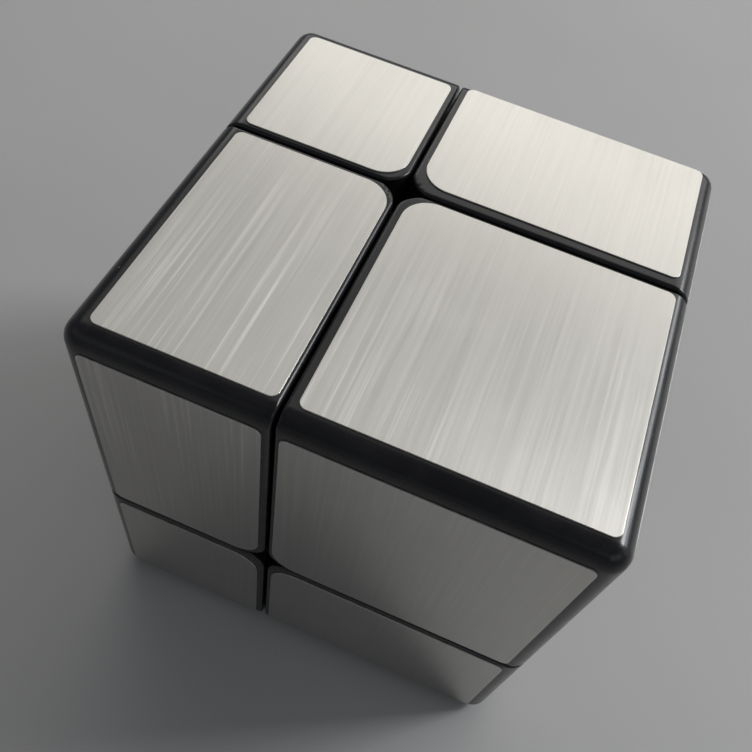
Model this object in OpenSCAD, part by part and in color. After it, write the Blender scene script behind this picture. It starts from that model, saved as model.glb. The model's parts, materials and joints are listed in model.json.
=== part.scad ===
// Twisty puzzle cube, two layers each way, with its cuts off-centre so every block is a different size.
// A ball core carries six sprung centres; twelve hidden edges and eight corner feet interlock around it.
// Frame: millimetres, +X right, +Y back, +Z up, resting on Z = 0.

/* [Size] */
// Width, depth and height over the foil faces
cube_size = 50; // [40:0.5:70]
// How far each of the three cuts sits from the middle of the cube
cut_offset = 5; // [0:0.5:6]
// Half of the gap between neighbouring blocks
block_gap = 0.15; // [0.1:0.05:0.4]

/* [Blocks] */
// Rounding of the cube's outside edges
edge_round = 2; // [1:0.25:3]
// Rounding of a block's edges along a cut
cut_round = 0.45; // [0.3:0.05:1.2]
// Rounding where four blocks meet in the middle of a face
centre_round = 2.8; // [2:0.2:5]
// Wall of the outer cap
cap_wall = 1.6; // [1.2:0.1:2]
// Wall of the inner base
base_wall = 1.4; // [1:0.1:2]
// Clearance between a cap and its base
cap_fit = 0.05; // [0:0.01:0.1]
// Radius of the post that locates a cap on its base
post_r = 1.3; // [1:0.1:2]

/* [Foil] */
// Thickness of a foil face
foil_t = 0.15; // [0.1:0.05:0.3]
// Plastic left showing beside an outside edge of the cube
foil_outer = 2.0; // [1:0.1:3]
// Distance from a cut's middle line to the foil
foil_cut = 0.9; // [0.5:0.05:1.5]
// Corner radius where four foils meet
foil_big_r = 3.0; // [2:0.2:4]
// Radius of the other foil corners
foil_small_r = 0.8; // [0.3:0.1:1.5]

/* [Mechanism] */
// Radius of the ball core
core_r = 8.7; // [8:0.1:9]
// Inner radius of the feet that slide over the core
foot_in = 9.0; // [8.5:0.1:9.5]
// Radius where the feet end and the flanges begin
foot_out = 12.4; // [12:0.1:13]
// Outer radius of the flanges
flange_out = 16.3; // [15:0.1:16.5]
// Radius of the round hollow inside the blocks
hollow_r = 16.6; // [16:0.1:17]
// Half of the gap between two mechanism pieces
slide_gap = 0.12; // [0.08:0.01:0.2]
// Half angle of a layer at the feet
foot_angle = 72; // [68:1:76]
// Half angle of a layer at the flanges
flange_angle = 62; // [58:1:66]

/* [Screws] */
// Radius of a screw's shank
screw_r = 1.2; // [1:0.1:1.5]
// Radius of a screw's head
head_r = 2.3; // [2:0.1:2.5]
// Radius of the pocket for the spring
pocket_r = 2.65; // [2.4:0.05:2.8]
// Radius of the spring wire
wire_r = 0.3; // [0.2:0.05:0.35]
// Turns in a spring
spring_turns = 3; // [2:1:4]

/* [Hidden] */
$fn = 72;
black = "#1c1c1f";
grey = "#3a3a3d";
steel = "#b9bcc0";
foil = "#c9c6be";
half = cube_size / 2;
hub = [-cut_offset, cut_offset, half - cut_offset];
hub_mid = [-cut_offset, cut_offset, -cut_offset];
head_top = flange_out - 0.4;
head_t = 1.4;
washer_t = 0.5;
seat = foot_out - 1.4;
spring_top = head_top - head_t - washer_t - 0.05;
spring_r = head_r - wire_r;
AXES = [[0, 0, 0], [180, 0, 0], [0, 90, 0], [0, -90, 0], [-90, 0, 0], [90, 0, 0]];
UP = 0;
DOWN = 1;
RIGHT = 2;
LEFT = 3;
BACK = 4;
FRONT = 5;

// ---- placing ----

module at_hub() translate(hub) children();

module on_axis(a) rotate(AXES[a]) children();

// Turns the right-back-upper eighth into the one with signs s.
module eighth(s) at_hub()
  mirror([s[0] < 0 ? 1 : 0, 0, 0]) mirror([0, s[1] < 0 ? 1 : 0, 0]) mirror([0, 0, s[2] < 0 ? 1 : 0])
  children();

// Lengths from the hub to the outside of the plastic, for the eighth with signs s.
function reach(s) = [for (i = [0:2]) half - s[i] * hub_mid[i] - foil_t];

// ---- mechanism ----

// A layer's cone around one axis, drawn in (g > 0) or out (g < 0) by an even gap.
module layer_cone(a, angle, g) on_axis(a)
  translate([0, 0, g / sin(angle)]) cylinder(h = 24, r1 = 0, r2 = 24 * tan(angle));

module shell(r_in, r_out) difference() {
  sphere(r_out);
  sphere(r_in);
}

// The part of a shell between two layers' cones and clear of the two cones beside them.
module edge_zone(r_in, r_out, angle, side_angle, g) difference() {
  intersection() {
    shell(r_in, r_out);
    layer_cone(UP, angle, g);
    layer_cone(RIGHT, angle, g);
  }
  for (a = [FRONT, BACK]) layer_cone(a, side_angle, -g);
}

// A hidden edge: a wide flange outside, a long foot inside and a neck joining them.
module hidden_edge() color(grey) {
  edge_zone(foot_out + slide_gap, flange_out, flange_angle, flange_angle, slide_gap);
  edge_zone(foot_in, foot_out - slide_gap, foot_angle, foot_angle, slide_gap);
  edge_zone(foot_in + 0.6, flange_out - 0.6, flange_angle - 2, foot_angle + 2, slide_gap);
}

module corner_zone(r_in, r_out, angle) intersection() {
  shell(r_in, r_out);
  layer_cone(UP, angle, slide_gap);
  layer_cone(RIGHT, angle, slide_gap);
  layer_cone(BACK, angle, slide_gap);
}

// A round sprung centre, bored for its screw, spring and washer.
module round_centre() difference() {
  union() {
    intersection() {
      shell(foot_out + slide_gap, flange_out);
      layer_cone(UP, 90 - flange_angle, slide_gap);
    }
    intersection() {
      shell(foot_in + 0.1, flange_out - 0.6);
      layer_cone(UP, 90 - foot_angle, slide_gap);
    }
  }
  cylinder(h = 20, r = screw_r + 0.15);
  translate([0, 0, seat]) cylinder(h = 8, r = pocket_r);
}

module centre(a) at_hub() on_axis(a) round_centre();

module cross_screw() difference() {
  union() {
    translate([0, 0, 3]) cylinder(h = head_top - head_t - 2.5, r = screw_r);
    translate([0, 0, head_top - head_t]) cylinder(h = head_t, r = head_r);
  }
  for (t = [0, 90]) rotate([0, 0, t])
    translate([-1.4, -0.3, head_top - 0.8]) cube([2.8, 0.6, 2]);
}

module washer() translate([0, 0, head_top - head_t - washer_t]) difference() {
  cylinder(h = washer_t, r = pocket_r - 0.15);
  translate([0, 0, -1]) cylinder(h = washer_t + 2, r = screw_r + 0.1);
}

// A coil made of half turns, each tilted so its ends meet the next.
module spring() {
  pitch = (spring_top - seat - 0.1 - 2 * wire_r) / spring_turns;
  tilt = asin(pitch / 4 / spring_r);
  translate([0, 0, seat + 0.05 + wire_r]) for (k = [0:spring_turns - 1]) {
    translate([0, 0, (k + 0.25) * pitch]) rotate([0, tilt, 0]) half_turn();
    translate([0, 0, (k + 0.75) * pitch]) rotate([0, -tilt, 0]) rotate([0, 0, 180]) half_turn();
  }
}

module half_turn() rotate_extrude(angle = 180) translate([spring_r, 0]) circle(r = wire_r);

// Along the diagonal to the fixed corner, from the hub.
module to_fixed_corner() rotate([0, acos(-1 / sqrt(3)), 135]) children();

module core_ball() color(black) at_hub() difference() {
  union() {
    sphere(core_r);
    to_fixed_corner() translate([0, 0, 6]) cylinder(h = 5.4, r = 1.5, $fn = 6);
  }
  for (a = [0:5]) on_axis(a) translate([0, 0, 2.8]) cylinder(h = 8, r = screw_r + 0.05);
  for (x = [-1, 1], y = [-1, 1], z = [-1, 1]) if (x != -1 || y != 1 || z != -1)
    rotate([0, acos(z / sqrt(3)), atan2(y, x)]) translate([0, 0, core_r - 1.8]) cylinder(h = 4, r = 2.6);
}

module tension_screws() color(steel) at_hub() for (a = [0:5]) on_axis(a) cross_screw();
module spring_washers() color(steel) at_hub() for (a = [0:5]) on_axis(a) washer();
module tension_springs() color(steel) at_hub() for (a = [0:5]) on_axis(a) spring();
module centre_upper() color(grey) centre(UP);
module centre_right() color(grey) centre(RIGHT);
module centre_front() color(grey) centre(FRONT);
module fixed_centres() color(grey) for (a = [DOWN, LEFT, BACK]) centre(a);

module edge_upper_right() at_hub() hidden_edge();
module edge_upper_back() at_hub() rotate([0, 0, 90]) hidden_edge();
module edge_upper_left() at_hub() rotate([0, 0, 180]) hidden_edge();
module edge_upper_front() at_hub() rotate([0, 0, -90]) hidden_edge();
module edge_back_right() at_hub() rotate([-90, 0, 0]) hidden_edge();
module edge_back_left() at_hub() rotate([-90, 0, 90]) hidden_edge();
module edge_front_left() at_hub() rotate([-90, 0, 180]) hidden_edge();
module edge_front_right() at_hub() rotate([-90, 0, -90]) hidden_edge();
module edge_lower_right() at_hub() rotate([180, 0, 0]) hidden_edge();
module edge_lower_back() at_hub() rotate([180, 0, 90]) hidden_edge();
module edge_lower_left() at_hub() rotate([180, 0, 180]) hidden_edge();
module edge_lower_front() at_hub() rotate([180, 0, -90]) hidden_edge();

// ---- blocks ----

// A rectangle from lo to hi with its own radius at each corner: inner, right, outer, left.
module round_rect(lo, hi, r) {
  polygon([
    [lo[0] + r[0], lo[1]], [hi[0] - r[1], lo[1]], [hi[0], lo[1] + r[1]], [hi[0], hi[1] - r[2]],
    [hi[0] - r[2], hi[1]], [lo[0] + r[3], hi[1]], [lo[0], hi[1] - r[3]], [lo[0], lo[1] + r[0]]
  ]);
  translate([lo[0] + r[0], lo[1] + r[0]]) circle(r = r[0]);
  translate([hi[0] - r[1], lo[1] + r[1]]) circle(r = r[1]);
  translate([hi[0] - r[2], hi[1] - r[2]]) circle(r = r[2]);
  translate([lo[0] + r[3], hi[1] - r[3]]) circle(r = r[3]);
}

module block_prism(p, q, h) linear_extrude(height = h)
  round_rect([block_gap, block_gap], [p, q], [centre_round, cut_round, edge_round, cut_round]);

// Sends a shape's own x, y, z to y, z, x.
module turned() rotate([90, 0, 90]) children();

// The whole outside of a block, reaching L along each axis from the hub.
module block(L) intersection() {
  block_prism(L[0], L[1], L[2]);
  turned() block_prism(L[1], L[2], L[0]);
  turned() turned() block_prism(L[2], L[0], L[1]);
}

function post_at(L) = [L[0] - cap_wall - 3.2, L[1] - cap_wall - 3.2];

module cap(s) {
  L = reach(s);
  color(black) eighth(s) {
    difference() {
      block(L);
      translate([-1, -1, -1]) cube([for (v = L) v - cap_wall + 1]);
    }
    translate([post_at(L)[0], post_at(L)[1], 4]) cylinder(h = L[2] - 4.5, r = post_r);
  }
}

module base(s) {
  L = reach(s);
  p = post_at(L);
  color(black) eighth(s) difference() {
    union() {
      difference() {
        intersection() {
          block(L);
          translate([-1, -1, -1]) cube([for (v = L) v - cap_wall - cap_fit + 1]);
        }
        difference() {
          translate([1, 1, 1] * (block_gap + base_wall)) cube(L);
          sphere(hollow_r + base_wall);
        }
        sphere(hollow_r);
      }
      corner_zone(foot_in, foot_out - slide_gap, foot_angle);
      corner_zone(foot_in + 0.6, hollow_r + 1, flange_angle);
      translate([p[0], p[1], 1]) cylinder(h = 7, r = post_r + 1.3);
    }
    translate([p[0], p[1], 3.8]) cylinder(h = 7, r = post_r + 0.1);
  }
}

// ---- foil faces ----

// The foil on the face square to one axis (0, 1, 2) of the block with signs s. Foils are laid by hand, so some
// sit a little off centre, by nudge along the two axes that follow.
module foil_face(s, axis, nudge = [0, 0]) {
  L = reach(s);
  a = (axis + 1) % 3;
  b = (axis + 2) % 3;
  hi = [L[a] + foil_t - foil_outer, L[b] + foil_t - foil_outer];
  n = [s[a] * nudge[0], s[b] * nudge[1]];
  color(foil) eighth(s) face_frame(axis) translate([n[0], n[1], L[axis]])
    linear_extrude(height = foil_t)
      round_rect([foil_cut, foil_cut], hi, [foil_big_r, foil_small_r, foil_small_r, foil_small_r]);
}

// Stands a drawing made in x, y, z with z along the given axis.
module face_frame(axis) {
  if (axis == 0) turned() children();
  if (axis == 1) turned() turned() children();
  if (axis == 2) children();
}

module upper_front_left_cap() cap([-1, -1, 1]);
module upper_front_right_cap() cap([1, -1, 1]);
module upper_back_left_cap() cap([-1, 1, 1]);
module upper_back_right_cap() cap([1, 1, 1]);
module lower_front_left_cap() cap([-1, -1, -1]);
module lower_front_right_cap() cap([1, -1, -1]);
module lower_back_left_cap() cap([-1, 1, -1]);
module lower_back_right_cap() cap([1, 1, -1]);

module upper_front_left_base() base([-1, -1, 1]);
module upper_front_right_base() base([1, -1, 1]);
module upper_back_left_base() base([-1, 1, 1]);
module upper_back_right_base() base([1, 1, 1]);
module lower_front_left_base() base([-1, -1, -1]);
module lower_front_right_base() base([1, -1, -1]);
module lower_back_left_base() color(black) difference() {
  base([-1, 1, -1]);
  at_hub() to_fixed_corner() translate([0, 0, 6]) cylinder(h = 5.6, r = 1.65, $fn = 6);
}
module lower_back_right_base() base([1, 1, -1]);

module upper_front_left_top_foil() foil_face([-1, -1, 1], 2, [0.3, 0.1]);
module upper_front_left_front_foil() foil_face([-1, -1, 1], 1, [-0.25, 0]);
module upper_front_left_left_foil() foil_face([-1, -1, 1], 0);
module upper_front_right_top_foil() foil_face([1, -1, 1], 2, [0.2, 0.2]);
module upper_front_right_front_foil() foil_face([1, -1, 1], 1, [-0.2, -0.2]);
module upper_front_right_right_foil() foil_face([1, -1, 1], 0);
module upper_back_left_top_foil() foil_face([-1, 1, 1], 2, [0.15, -0.2]);
module upper_back_left_back_foil() foil_face([-1, 1, 1], 1);
module upper_back_left_left_foil() foil_face([-1, 1, 1], 0);
module upper_back_right_top_foil() foil_face([1, 1, 1], 2, [0.1, 0.5]);
module upper_back_right_back_foil() foil_face([1, 1, 1], 1);
module upper_back_right_right_foil() foil_face([1, 1, 1], 0);
module lower_front_left_bottom_foil() foil_face([-1, -1, -1], 2);
module lower_front_left_front_foil() foil_face([-1, -1, -1], 1, [-0.25, 0]);
module lower_front_left_left_foil() foil_face([-1, -1, -1], 0);
module lower_front_right_bottom_foil() foil_face([1, -1, -1], 2);
module lower_front_right_front_foil() foil_face([1, -1, -1], 1, [0, -0.1]);
module lower_front_right_right_foil() foil_face([1, -1, -1], 0);
module lower_back_left_bottom_foil() foil_face([-1, 1, -1], 2);
module lower_back_left_back_foil() foil_face([-1, 1, -1], 1);
module lower_back_left_left_foil() foil_face([-1, 1, -1], 0);
module lower_back_right_bottom_foil() foil_face([1, 1, -1], 2);
module lower_back_right_back_foil() foil_face([1, 1, -1], 1);
module lower_back_right_right_foil() foil_face([1, 1, -1], 0);

core_ball();
tension_screws();
spring_washers();
tension_springs();
centre_upper();
centre_right();
centre_front();
fixed_centres();
edge_upper_right();
edge_upper_back();
edge_upper_left();
edge_upper_front();
edge_back_right();
edge_back_left();
edge_front_left();
edge_front_right();
edge_lower_right();
edge_lower_back();
edge_lower_left();
edge_lower_front();
upper_front_left_cap();
upper_front_right_cap();
upper_back_left_cap();
upper_back_right_cap();
lower_front_left_cap();
lower_front_right_cap();
lower_back_left_cap();
lower_back_right_cap();
upper_front_left_base();
upper_front_right_base();
upper_back_left_base();
upper_back_right_base();
lower_front_left_base();
lower_front_right_base();
lower_back_left_base();
lower_back_right_base();
upper_front_left_top_foil();
upper_front_left_front_foil();
upper_front_left_left_foil();
upper_front_right_top_foil();
upper_front_right_front_foil();
upper_front_right_right_foil();
upper_back_left_top_foil();
upper_back_left_back_foil();
upper_back_left_left_foil();
upper_back_right_top_foil();
upper_back_right_back_foil();
upper_back_right_right_foil();
lower_front_left_bottom_foil();
lower_front_left_front_foil();
lower_front_left_left_foil();
lower_front_right_bottom_foil();
lower_front_right_front_foil();
lower_front_right_right_foil();
lower_back_left_bottom_foil();
lower_back_left_back_foil();
lower_back_left_left_foil();
lower_back_right_bottom_foil();
lower_back_right_back_foil();
lower_back_right_right_foil();
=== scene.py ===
"""Looks of the twisty puzzle cube: finely rounded glossy caps, brushed foil faces, the inner mechanism's
finishes, a pale floor, soft light and the camera. Lengths are in millimetres until MM turns them into metres,
apart from those of the materials and the stage, which are in metres."""

import json
import math

import bpy
import numpy as np
from mathutils import Matrix, Vector


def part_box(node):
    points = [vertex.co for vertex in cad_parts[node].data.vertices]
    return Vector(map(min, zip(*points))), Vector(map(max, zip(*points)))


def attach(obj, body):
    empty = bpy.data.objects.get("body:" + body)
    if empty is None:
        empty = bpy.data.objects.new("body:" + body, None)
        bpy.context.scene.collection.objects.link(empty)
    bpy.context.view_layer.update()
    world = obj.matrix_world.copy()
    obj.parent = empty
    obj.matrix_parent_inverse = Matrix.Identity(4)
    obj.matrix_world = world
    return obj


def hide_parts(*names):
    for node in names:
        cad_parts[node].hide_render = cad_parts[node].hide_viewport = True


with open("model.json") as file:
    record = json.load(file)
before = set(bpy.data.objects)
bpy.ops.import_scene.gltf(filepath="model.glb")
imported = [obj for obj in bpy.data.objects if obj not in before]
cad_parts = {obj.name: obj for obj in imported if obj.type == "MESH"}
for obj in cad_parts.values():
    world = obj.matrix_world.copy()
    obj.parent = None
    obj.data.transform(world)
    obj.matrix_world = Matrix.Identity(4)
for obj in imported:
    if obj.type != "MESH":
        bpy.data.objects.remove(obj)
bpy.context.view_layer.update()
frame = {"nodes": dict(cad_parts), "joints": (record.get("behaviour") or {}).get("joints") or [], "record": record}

MM = 0.001
HUB = np.array(frame["joints"][0]["pos_m"]) / MM
BODY_OF = {n: b for b, nodes in frame["record"]["behaviour"]["bodies"].items() for n in nodes}
BLOCKS = sorted(n.removesuffix("_cap") for n in BODY_OF if n.endswith("_cap"))
FOILS = sorted(n for n in BODY_OF if n.endswith("_foil"))
SIDES = {"left": (0, -1), "right": (0, 1), "front": (1, -1), "back": (1, 1), "bottom": (2, -1), "top": (2, 1)}

WALL = 1.6            # a cap's wall
EDGE_R = 2.0          # rounding of the cube's outside edges
CUT_R = 0.45          # rounding along a cut
CENTRE_R = 2.8        # rounding where four blocks meet
SOFT_R = 0.3          # smallest rounding where roundings meet
RIM_EASE = 0.10       # how far a cap's open rim is sunk below the cut face
SEAM_STRIP = 0.12     # width of the strip that slopes down to the rim
EDGE_ARC = (0.49, 0.675)      # grid lines on an outside rounding, in parts of its radius
EDGE_MARGIN = 0.1     # from an outside rounding to the first grid line on the flat
FLAT_STEP = 3.5       # about the grid spacing on a cap's flat walls
PROJECTIONS = 60      # rounds of projection that settle a rounded block

BIG_CORNER, SMALL_CORNER = (3.0, 18), (0.8, 9)      # radius of a foil's corners, and the steps round each
FOIL_ROLL = 0.07      # how far a foil's upper edge is rolled over
FOIL_ROLL_MID = 0.02  # inset and drop of the middle of the roll
GRAIN_STEP = (7.3, 3.1)       # centimetres in the grain map from one foil to the next
PAINTED_HIGHLIGHT_CORNER = (-0.025, -0.025, 0.05)      # in metres; the brushing shows most round this corner, where the streaks are painted lighter as a painted highlight


# ---- camera ----

CAMERA_PLACE = (7.66, -54.39, 104.69)
CAMERA_TURN, CAMERA_TILT, CAMERA_ROLL = -10.50, 55.37, 13.36      # degrees
SENSOR, LENS = 36, 38.51


def make_camera():
    az, el, roll = (math.radians(a) for a in (CAMERA_TURN, CAMERA_TILT, CAMERA_ROLL))
    look = Vector((math.cos(el) * math.sin(az), math.cos(el) * math.cos(az), -math.sin(el)))
    level = look.cross(Vector((0, 0, 1))).normalized()
    up = level.cross(look)
    right = level * math.cos(roll) + up * math.sin(roll)
    up = up * math.cos(roll) - level * math.sin(roll)
    data = bpy.data.cameras.new("camera")
    data.sensor_width, data.lens = SENSOR, LENS
    data.clip_start, data.clip_end = 0.005, 20
    cam = bpy.data.objects.new("camera", data)
    turn = Matrix((right, up, -look)).transposed().to_4x4()
    cam.matrix_world = Matrix.Translation(Vector(CAMERA_PLACE) * MM) @ turn
    bpy.context.scene.collection.objects.link(cam)
    bpy.context.scene.camera = cam


# ---- material helpers ----

class Nodes:
    """A material's node tree, with short ways to add and join nodes."""

    def __init__(self, name):
        self.material = bpy.data.materials.new(name)
        self.material.use_nodes = True
        self.tree = self.material.node_tree
        self.tree.nodes.clear()
        self.shader = self.add("ShaderNodeBsdfPrincipled")
        out = self.add("ShaderNodeOutputMaterial")
        self.link(self.shader.outputs[0], out.inputs[0])

    def add(self, kind, **values):
        n = self.tree.nodes.new(kind)
        for k, v in values.items():
            setattr(n, k, v)
        return n

    def link(self, a, b):
        self.tree.links.new(a, b)

    def set(self, **values):
        """Constant values straight on the shader's own sockets."""
        for k, v in values.items():
            self.shader.inputs[k].default_value = v

    def coords(self, output, scale=(1, 1, 1), turn=(0, 0, 0)):
        c = self.add("ShaderNodeTexCoord")
        m = self.add("ShaderNodeMapping")
        m.inputs["Scale"].default_value = scale
        m.inputs["Rotation"].default_value = turn
        self.link(c.outputs[output], m.inputs["Vector"])
        return m.outputs[0]

    def noise(self, vector, scale, detail=2.0, rough=0.5, distortion=0.0):
        n = self.add("ShaderNodeTexNoise")
        n.inputs["Scale"].default_value = scale
        n.inputs["Detail"].default_value = detail
        n.inputs["Roughness"].default_value = rough
        n.inputs["Distortion"].default_value = distortion
        self.link(vector, n.inputs["Vector"])
        return n.outputs["Fac"]

    def grain(self, across, along, detail, rough=0.5, distortion=0.0, turn=0.0):
        """Noise on the grain map, with so many cells to the centimetre across the grain and along it."""
        return self.noise(self.coords("UV", (across, along, 1), (0, 0, turn)), 1.0, detail, rough, distortion)

    def voronoi(self, vector, scale):
        n = self.add("ShaderNodeTexVoronoi")
        n.inputs["Scale"].default_value = scale
        self.link(vector, n.inputs["Vector"])
        return n.outputs["Distance"]

    def distance(self, vector, point):
        n = self.add("ShaderNodeVectorMath", operation="DISTANCE")
        n.inputs[1].default_value = point
        self.link(vector, n.inputs[0])
        return n.outputs["Value"]

    def span(self, value, a, b, low=0.0, high=1.0):
        """Maps a..b to low..high, clamped."""
        n = self.add("ShaderNodeMapRange")
        for i, v in zip((1, 2, 3, 4), (a, b, low, high)):
            n.inputs[i].default_value = v
        self.link(value, n.inputs[0])
        return n.outputs[0]

    def math(self, op, a, b):
        n = self.add("ShaderNodeMath", operation=op)
        for i, v in enumerate((a, b)):
            if isinstance(v, (int, float)):
                n.inputs[i].default_value = v
            else:
                self.link(v, n.inputs[i])
        return n.outputs[0]

    def times(self, a, b):
        return self.math("MULTIPLY", a, b)

    def total(self, first, *others):
        for other in others:
            first = self.math("ADD", first, other)
        return first

    def mix(self, factor, a, b):
        n = self.add("ShaderNodeMix", data_type="RGBA")
        for i, v in ((0, factor), (6, a), (7, b)):
            if isinstance(v, tuple):
                n.inputs[i].default_value = (*v, 1)
            else:
                self.link(v, n.inputs[i])
        return n.outputs[2]

    def bump(self, height, strength, distance, below=None):
        n = self.add("ShaderNodeBump")
        n.inputs["Strength"].default_value = strength
        n.inputs["Distance"].default_value = distance
        self.link(height, n.inputs["Height"])
        if below is not None:
            self.link(below, n.inputs["Normal"])
        return n.outputs[0]

    def out(self, socket, value):
        self.link(value, self.shader.inputs[socket])


def scaled(colour, factor):
    return tuple(c * factor for c in colour)


# ---- materials ----

def foil_material(name, tone):
    """Brushed silver film. The grain map is in centimetres, U across the grain and V along it."""
    m = Nodes(name)
    fine = m.grain(90, 1.3, 3, 0.6)
    lines = m.grain(30, 0.35, 4, 0.65)
    bands = m.grain(12, 0.13, 2, 0.55)
    cloud = m.grain(0.5, 0.35, 2)
    patch = m.span(m.grain(0.45, 0.3, 1, turn=0.4), 0.38, 0.64, 0.3, 1.0)
    # Painted highlight: near this corner the streaks are painted much lighter, and a little rougher; elsewhere
    # they follow the random patches.
    painted_highlight_near_corner = m.span(m.distance(m.coords("Object"), PAINTED_HIGHLIGHT_CORNER), 0.036, 0.012, 0.0, 1.1)
    streaks_and_painted_highlight = m.times(m.span(m.grain(24, 0.3, 3, 0.6, turn=-0.006), 0.52, 0.70),
                     m.total(m.times(patch, 0.25), painted_highlight_near_corner))
    light = m.total(m.span(lines, 0.35, 0.65, -0.035, 0.035), m.span(bands, 0.36, 0.64, -0.015, 0.015),
                    m.span(fine, 0.3, 0.7, -0.03, 0.03), m.times(streaks_and_painted_highlight, 0.26),
                    m.span(cloud, 0.3, 0.7, -0.02, 0.02))
    m.out("Base Color", m.mix(m.span(light, -0.2, 0.5), scaled(tone, 0.79), scaled(tone, 1.43)))
    scratch = m.grain(48, 0.7, 1, 0.4, turn=0.012)
    smudge = m.grain(1.1, 0.8, 3, 0.6, distortion=0.6)
    m.out("Roughness", m.total(m.span(lines, 0.3, 0.7, 0.29, 0.35), m.span(smudge, 0.48, 0.76, 0.0, 0.045),
                               m.times(streaks_and_painted_highlight, 0.08), m.span(scratch, 0.68, 0.74, 0.0, 0.04)))
    m.set(Metallic=1.0, Anisotropic=0.8)
    tangent = m.add("ShaderNodeTangent", direction_type="UV_MAP", uv_map="grain")
    m.out("Tangent", tangent.outputs[0])
    wave = m.bump(m.grain(0.9, 0.6, 1, 0.4), 0.07, 0.00003)
    m.out("Normal", m.bump(m.total(fine, lines), 0.15, 0.000004, wave))
    return m.material


def film_edge_material():
    """The cut edge of the foil, where its clear film and white glue show."""
    m = Nodes("film_edge")
    grime = m.noise(m.coords("Object"), 900, 3, 0.6)
    m.out("Base Color", m.mix(m.span(grime, 0.35, 0.65), (0.20, 0.195, 0.19), (0.42, 0.41, 0.39)))
    m.out("Roughness", m.span(grime, 0.3, 0.7, 0.3, 0.5))
    return m.material


def plastic_material(name, dark, light, rough, grain=0.0):
    """Moulded plastic: handling haze, hairline scratches, worn edges and dust specks."""
    m = Nodes(name)
    haze = m.noise(m.coords("Object"), 160, 3, 0.6, 0.4)
    fine = m.noise(m.coords("Object"), 2600, 2)
    hair_a = m.noise(m.coords("Object", (5200, 5200, 260), (0.5, 0.9, 0.3)), 1.0, 1, 0.4)
    hair_b = m.noise(m.coords("Object", (4600, 210, 4600), (0.2, 0.6, 1.1)), 1.0, 1, 0.4)
    scratch = m.math("MAXIMUM", m.span(hair_a, 0.70, 0.76), m.span(hair_b, 0.70, 0.76))
    worn_edge = m.span(m.add("ShaderNodeNewGeometry").outputs["Pointiness"], 0.505, 0.56)
    wear = m.times(worn_edge, m.span(m.noise(m.coords("Object"), 700, 3, 0.6), 0.45, 0.62))
    speck_place = m.span(m.noise(m.coords("Object"), 240, 1), 0.5, 0.56)
    specks = m.times(m.span(m.voronoi(m.coords("Object"), 420), 0.035, 0.02), speck_place)
    base = m.mix(m.span(haze, 0.35, 0.68), dark, light)
    base = m.mix(m.times(wear, 0.5), base, scaled(light, 3.2))
    m.out("Base Color", m.mix(specks, base, (0.30, 0.30, 0.29)))
    m.out("Roughness", m.total(m.span(haze, 0.3, 0.7, rough - 0.04, rough + 0.07), m.times(scratch, 0.10),
                               m.times(wear, 0.12), m.times(specks, 0.4)))
    m.set(IOR=1.5)
    height = m.total(m.times(fine, 0.25 + grain), m.times(scratch, -0.5))
    m.out("Normal", m.bump(height, 0.25 + grain, 0.00001))
    return m.material


def metal_material(name, dark, light, rough, stretch=0.0):
    """Steel with a drawn or turned grain and a little tarnish."""
    m = Nodes(name)
    grain = m.noise(m.coords("Object", (3000, 3000, 700)), 1.0, 3, 0.6)
    tarnish = m.noise(m.coords("Object"), 500, 3, 0.6, 0.5)
    m.out("Base Color", m.mix(m.span(m.total(grain, tarnish), 0.75, 1.25), dark, light))
    m.out("Roughness", m.total(m.span(grain, 0.3, 0.7, rough - 0.06, rough + 0.06),
                               m.span(tarnish, 0.5, 0.75, 0.0, 0.12)))
    m.set(Metallic=1.0, Anisotropic=stretch)
    m.out("Normal", m.bump(grain, 0.3, 0.000008))
    return m.material


MATERIALS = {
    "brushed_foil": foil_material("brushed_foil", (0.60, 0.587, 0.553)),
    "gloss_black": plastic_material("gloss_black", (0.010, 0.010, 0.011), (0.017, 0.017, 0.019), 0.20),
    "base_black": plastic_material("base_black", (0.014, 0.014, 0.015), (0.019, 0.019, 0.021), 0.30, 0.15),
    "core_black": plastic_material("core_black", (0.018, 0.018, 0.019), (0.030, 0.030, 0.032), 0.42, 0.4),
    "mechanism_grey": plastic_material("mechanism_grey", (0.022, 0.022, 0.024), (0.036, 0.036, 0.039), 0.38, 0.3),
    "black_oxide_steel": metal_material("black_oxide_steel", (0.045, 0.045, 0.05), (0.13, 0.13, 0.14), 0.36),
    "washer_steel": metal_material("washer_steel", (0.42, 0.42, 0.43), (0.66, 0.66, 0.67), 0.30, 0.4),
    "spring_steel": metal_material("spring_steel", (0.38, 0.38, 0.40), (0.60, 0.60, 0.62), 0.26, 0.3),
}
FILM_EDGE = film_edge_material()


# ---- meshes ----

def unit(v):
    return v / np.linalg.norm(v)


def other_axes(k):
    return (k + 1) % 3, (k + 2) % 3


def add_piece(name, points, faces, normals, slot, node, face_material=None, extra=(), uv=None):
    """Makes a piece that stands for a CAD node, from points in millimetres in the frame. normals holds one
    normal for each face corner, and extra the materials that follow the slot's own."""
    mesh = bpy.data.meshes.new(name)
    mesh.from_pydata([tuple(p) for p in np.asarray(points) * MM], [], faces)
    for m in (MATERIALS[slot], *extra):
        mesh.materials.append(m)
    mesh.polygons.foreach_set("material_index", face_material or [0] * len(faces))
    mesh.polygons.foreach_set("use_smooth", [True] * len(faces))
    if uv is not None:
        layer = mesh.uv_layers.new(name="grain")
        layer.data.foreach_set("uv", np.asarray(uv, np.float32).ravel())
    mesh.normals_split_custom_set([tuple(n) for n in normals])
    mesh.update()
    o = bpy.data.objects.new(name, mesh)
    bpy.context.scene.collection.objects.link(o)
    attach(o, BODY_OF[node])
    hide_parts(node)


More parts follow.
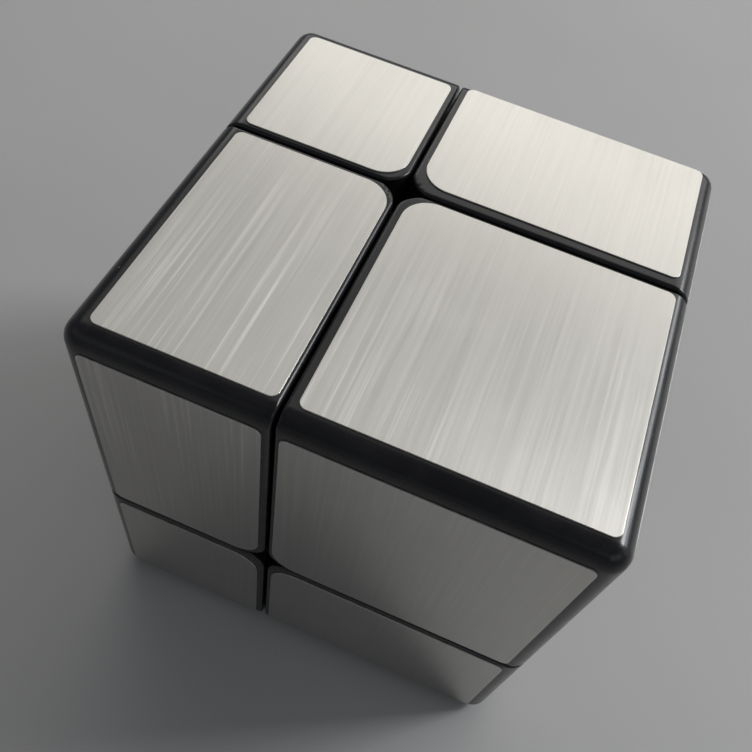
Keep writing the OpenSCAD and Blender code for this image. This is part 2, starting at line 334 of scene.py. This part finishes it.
def nearest_in_prism(p, k, lo, hi):
    """The nearest points of the rounded bar that runs along axis k."""
    a, b = other_axes(k)
    q = p.copy()
    u = np.clip(p[:, a], lo[a], hi[a])
    v = np.clip(p[:, b], lo[b], hi[b])
    for sa in (-1, 1):
        for sb in (-1, 1):
            r = {-2: CENTRE_R, 0: CUT_R, 2: EDGE_R}[sa + sb] - SOFT_R
            ca, cb = (hi[a] - r if sa > 0 else lo[a] + r), (hi[b] - r if sb > 0 else lo[b] + r)
            du, dv = p[:, a] - ca, p[:, b] - cb
            size = np.hypot(du, dv)
            out = (du * sa > 0) & (dv * sb > 0) & (size > r)
            scale = r / np.maximum(size, 1e-9)
            u = np.where(out, ca + du * scale, u)
            v = np.where(out, cb + dv * scale, v)
    q[:, a], q[:, b] = u, v
    return q


def nearest_in_corner(p, hi):
    """The nearest points of the region inside the block's fully rounded outer corner."""
    r = EDGE_R - SOFT_R
    c = np.minimum(p, hi - r)
    d = p - c
    size = np.linalg.norm(d, axis=1, keepdims=True)
    return np.where(size > r, c + d * r / np.maximum(size, 1e-9), p)


def round_off(p, lo, hi):
    """Moves points on a sharp box to the rounded block, and returns them with their normals. The block is the
    soft offset of the shape where three rounded bars cross, found by alternating projections."""
    lo, hi = lo + SOFT_R, hi - SOFT_R
    sets = [lambda x, k=k: nearest_in_prism(x, k, lo, hi) for k in range(3)]
    sets.append(lambda x: nearest_in_corner(x, hi))
    x, carry = p.copy(), [np.zeros_like(p) for _ in sets]
    for _ in range(PROJECTIONS):
        for i, nearest in enumerate(sets):
            y = x + carry[i]
            x = nearest(y)
            carry[i] = y - x
    n = p - x
    n /= np.linalg.norm(n, axis=1, keepdims=True)
    return x + n * SOFT_R, n


def grid_stops(lo, hi):
    """Grid lines across a block, close together where it is rounded, with one on the cap's seam."""
    arc = [1 - math.tan(math.radians(9 * i)) for i in range(1, 5)] + [1.0]      # every 9 degrees of a rounding
    near = sorted([0.0, *(CUT_R * a for a in arc), *(CENTRE_R * a for a in arc)])
    far = sorted([0.0, *(CUT_R * a for a in arc), *(EDGE_R * a for a in EDGE_ARC), WALL - SEAM_STRIP, WALL,
                  EDGE_R + EDGE_MARGIN])
    a, b = lo + near[-1], hi - far[-1]
    middle = np.linspace(a, b, max(2, round((b - a) / FLAT_STEP)) + 1)[1:-1]
    return np.array([*(lo + t for t in near), *middle, *(hi - t for t in reversed(far))])


def open_box(stops, seam):
    """Grid faces over a box, open inside the seam on its three near sides. Returns the vertices' places in the
    grid, with their numbers, and the faces."""
    index, faces = {}, []
    size = [len(t) - 1 for t in stops]
    for k in range(3):
        a, b = other_axes(k)
        for end in (0, size[k]):
            for i in range(size[a]):
                for j in range(size[b]):
                    if not end and i < seam[a] and j < seam[b]:
                        continue
                    face = []
                    for di, dj in ((0, 0), (1, 0), (1, 1), (0, 1)):
                        at = [0, 0, 0]
                        at[k], at[a], at[b] = end, i + di, j + dj
                        face.append(index.setdefault(tuple(at), len(index)))
                    faces.append(face if end else face[::-1])
    return index, faces


def four_sided_normal(points, f):
    n = np.cross(points[f[1]] - points[f[0]], points[f[2]] - points[f[0]])
    return unit(n + np.cross(points[f[2]] - points[f[0]], points[f[3]] - points[f[0]]))


def inner_wall(points, rim, inside, k):
    """The flat face across the cap's inside at right angles to axis k, from its inner corner to its rim."""
    a, b = other_axes(k)
    edge = sorted((v for v in rim if rim[v][k]), key=lambda v: points[v][a] - points[v][b])
    turn = np.cross(points[edge[0]] - points[inside], points[edge[-1]] - points[inside])[k]
    face = [inside, *(edge[::-1] if turn > 0 else edge)]
    return face, [-np.eye(3)[k]] * len(face)


def cap(block):
    """A block's outer cap, with its open side's rim eased, standing for the CAD cap. It is made as if the block
    were the upper back right one, with the hub at the origin, and then mirrored to its place."""
    node = block + "_cap"
    low, high = (np.array(v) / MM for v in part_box(node))
    s = np.where((low + high) / 2 > HUB, 1, -1)
    corner = np.maximum(s * (low - HUB), s * (high - HUB))
    near = np.minimum(s * (low - HUB), s * (high - HUB))
    stops = [grid_stops(near[i], corner[i]) for i in range(3)]
    seam = [int(np.argmin(abs(stops[i] - (corner[i] - WALL)))) for i in range(3)]
    index, faces = open_box(stops, seam)
    sharp = np.array([[stops[i][at[i]] for i in range(3)] for at in index])
    points, normals = round_off(sharp, near, corner)
    rim = {}
    for at, v in index.items():
        on = [at[i] == seam[i] for i in range(3)]
        if any(on) and all(at[i] <= seam[i] for i in range(3)):
            rim[v] = on
            points[v] -= normals[v] * RIM_EASE
    corners = [[four_sided_normal(points, f)] * 4 if any(v in rim for v in f) else [normals[v] for v in f]
               for f in faces]
    inside = len(points)
    points = np.vstack([points, corner - WALL])
    for k in range(3):
        face, face_normals = inner_wall(points, rim, inside, k)
        faces.append(face)
        corners.append(face_normals)
    if s.prod() < 0:
        faces = [f[::-1] for f in faces]
        corners = [c[::-1] for c in corners]
    normals = [n * s for c in corners for n in c]
    add_piece("gloss_cap_" + block, HUB + points * s, faces, normals, "gloss_black", node)


def rounded_outline(lo, hi, big_corner, inset):
    """Points round a rectangle, anticlockwise, with one big corner and three small ones."""
    out = []
    for i, (sa, sb) in enumerate(((-1, -1), (1, -1), (1, 1), (-1, 1))):
        r, steps = BIG_CORNER if (sa, sb) == big_corner else SMALL_CORNER
        c = (hi[0] - r if sa > 0 else lo[0] + r, hi[1] - r if sb > 0 else lo[1] + r)
        for t in range(steps + 1):
            w = math.radians(180 + 90 * i + 90 * t / steps)
            out.append((c[0] + (r - inset) * math.cos(w), c[1] + (r - inset) * math.sin(w)))
    return out


def rolled_normal(flat, face_axis, rise):
    """A normal between a foil's side, at a rise of 0, and its face, at a rise of 1."""
    side = unit(flat - face_axis * flat.dot(face_axis))
    return unit(side * math.cos(rise * math.pi / 2) + face_axis * math.sin(rise * math.pi / 2))


def foil(node, number):
    """A brushed foil face, with a softly rolled edge, standing for the CAD foil."""
    axis, sign = SIDES[node.removesuffix("_foil").rsplit("_", 1)[1]]
    a, b = other_axes(axis)
    low, high = (np.array(v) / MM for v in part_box(node))
    mid = (low + high) / 2
    toward_hub = (-1 if mid[a] > HUB[a] else 1, -1 if mid[b] > HUB[b] else 1)
    base = low[axis] if sign > 0 else high[axis]
    thick = high[axis] - low[axis]
    rings = ((0, 0), (thick - FOIL_ROLL, 0), (thick - FOIL_ROLL_MID, FOIL_ROLL_MID), (thick, FOIL_ROLL))
    points = []
    for height, inset in rings:
        for u, v in rounded_outline((low[a], low[b]), (high[a], high[b]), toward_hub, inset):
            p = np.zeros(3)
            p[a], p[b], p[axis] = u, v, base + sign * height
            points.append(p)
    n = len(points) // len(rings)
    faces = [[r * n + i, r * n + (i + 1) % n, (r + 1) * n + (i + 1) % n, (r + 1) * n + i]
             for r in range(3) for i in range(n)]
    faces += [list(range(3 * n, 4 * n)), list(range(n))[::-1]]
    if sign < 0:
        faces = [f[::-1] for f in faces]
    points = np.array(points)
    face_axis = sign * np.eye(3)[axis]
    rise = {1: 0.0, 2: 0.75, 3: 1.0}      # of each ring of the roll
    normals, marks = [], []
    for i, f in enumerate(faces):
        p = points[f]
        flat = unit(np.cross(p[1] - p[0], p[2] - p[0]))
        rolled = n <= i < 3 * n
        normals += [rolled_normal(flat, face_axis, rise[v // n]) if rolled else flat for v in f]
        marks.append(0 if rolled or i == 3 * n else 1)
    along = 1 if axis == 2 else 2
    across = 3 - axis - along
    uv = [(points[v][across] / 10 + GRAIN_STEP[0] * number, points[v][along] / 10 + GRAIN_STEP[1] * number)
          for f in faces for v in f]
    add_piece("brushed_" + node, points, faces, normals, "brushed_foil", node, marks, (FILM_EDGE,), uv)


# ---- stage ----

WARM, WHITE = (1.0, 0.98, 0.945), (1, 1, 1)
COOL, COOLER, COOLEST = (0.95, 0.97, 1.0), (0.92, 0.96, 1.0), (0.90, 0.95, 1.0)
SOFTBOXES = {      # place and size in metres, watts, colour
    "back_softbox": ((0.05, 0.85, 0.52), (1.8, 0.42), 3.3, WARM),
    "overhead_softbox": ((-0.05, 0.60, 0.95), (1.8, 0.6), 1.85, WARM),
    "right_strip": ((0.72, 0.56, 0.45), (0.45, 0.16), 1.2, COOLEST),
    "right_fill": ((0.78, 0.36, 0.42), (0.9, 0.7), 0.7, COOLER),
    "front_left_fill": ((-0.75, -0.70, 0.70), (1.0, 0.5), 0.25, COOL),
    "front_right_fill": ((0.75, -0.70, 0.70), (1.0, 0.5), 0.6, COOL),
    "lamp": ((0.72, 0.465, 0.72), (0.24, 0.24), 2.8, WHITE),
}
LIGHTS_AIM = Vector((0, 0, 0.03))
FLOOR_HALF = 4      # half the floor's width, in metres
HORIZON, SKY, SKY_STARTS = (0.18, 0.19, 0.205, 1), (0.09, 0.094, 0.102, 1), 0.40


def make_floor():
    data = bpy.data.meshes.new("floor")
    corners = [(x * FLOOR_HALF, y * FLOOR_HALF, 0) for x, y in ((-1, -1), (1, -1), (1, 1), (-1, 1))]
    data.from_pydata(corners, [], [(0, 1, 2, 3)])
    floor = bpy.data.objects.new("floor", data)
    bpy.context.scene.collection.objects.link(floor)
    m = Nodes("pale_floor")
    tone = m.noise(m.coords("Object"), 9, 3)
    m.out("Base Color", m.mix(m.span(tone, 0.3, 0.7), (0.50, 0.498, 0.494), (0.56, 0.558, 0.554)))
    m.out("Roughness", m.span(tone, 0.3, 0.7, 0.5, 0.6))
    m.out("Normal", m.bump(m.noise(m.coords("Object"), 900, 2), 0.08, 0.0001))
    data.materials.append(m.material)


def make_softbox(name, place, size, watts, colour):
    light = bpy.data.lights.new(name, "AREA")
    light.shape, light.size, light.size_y = "RECTANGLE", *size
    light.energy, light.color = watts, colour
    o = bpy.data.objects.new(name, light)
    o.location = place
    o.rotation_mode = "QUATERNION"
    o.rotation_quaternion = (LIGHTS_AIM - Vector(place)).to_track_quat("-Z", "Y")
    bpy.context.scene.collection.objects.link(o)


def make_world():
    """A dim studio, a little lighter towards the horizon."""
    world = bpy.data.worlds.new("studio")
    world.use_nodes = True
    tree = world.node_tree
    rise = tree.nodes.new("ShaderNodeSeparateXYZ")
    fade = tree.nodes.new("ShaderNodeValToRGB")
    fade.color_ramp.elements[0].color = HORIZON
    fade.color_ramp.elements[1].position = SKY_STARTS
    fade.color_ramp.elements[1].color = SKY
    tree.links.new(tree.nodes.new("ShaderNodeTexCoord").outputs["Generated"], rise.inputs[0])
    tree.links.new(rise.outputs["Z"], fade.inputs[0])
    tree.links.new(fade.outputs[0], tree.nodes["Background"].inputs[0])
    bpy.context.scene.world = world


# ---- build ----

make_camera()
SLOTS = {p["node"]: p["material_slot"] for p in frame["record"]["subparts"]}
for name, o in frame["nodes"].items():
    o.data.materials.clear()
    o.data.materials.append(MATERIALS[SLOTS[name]])
for block_name in BLOCKS:
    cap(block_name)
for number, name in enumerate(FOILS):
    foil(name, number)
make_floor()
for name, values in SOFTBOXES.items():
    make_softbox(name, *values)
make_world()
bpy.context.scene.view_settings.view_transform = "Standard"
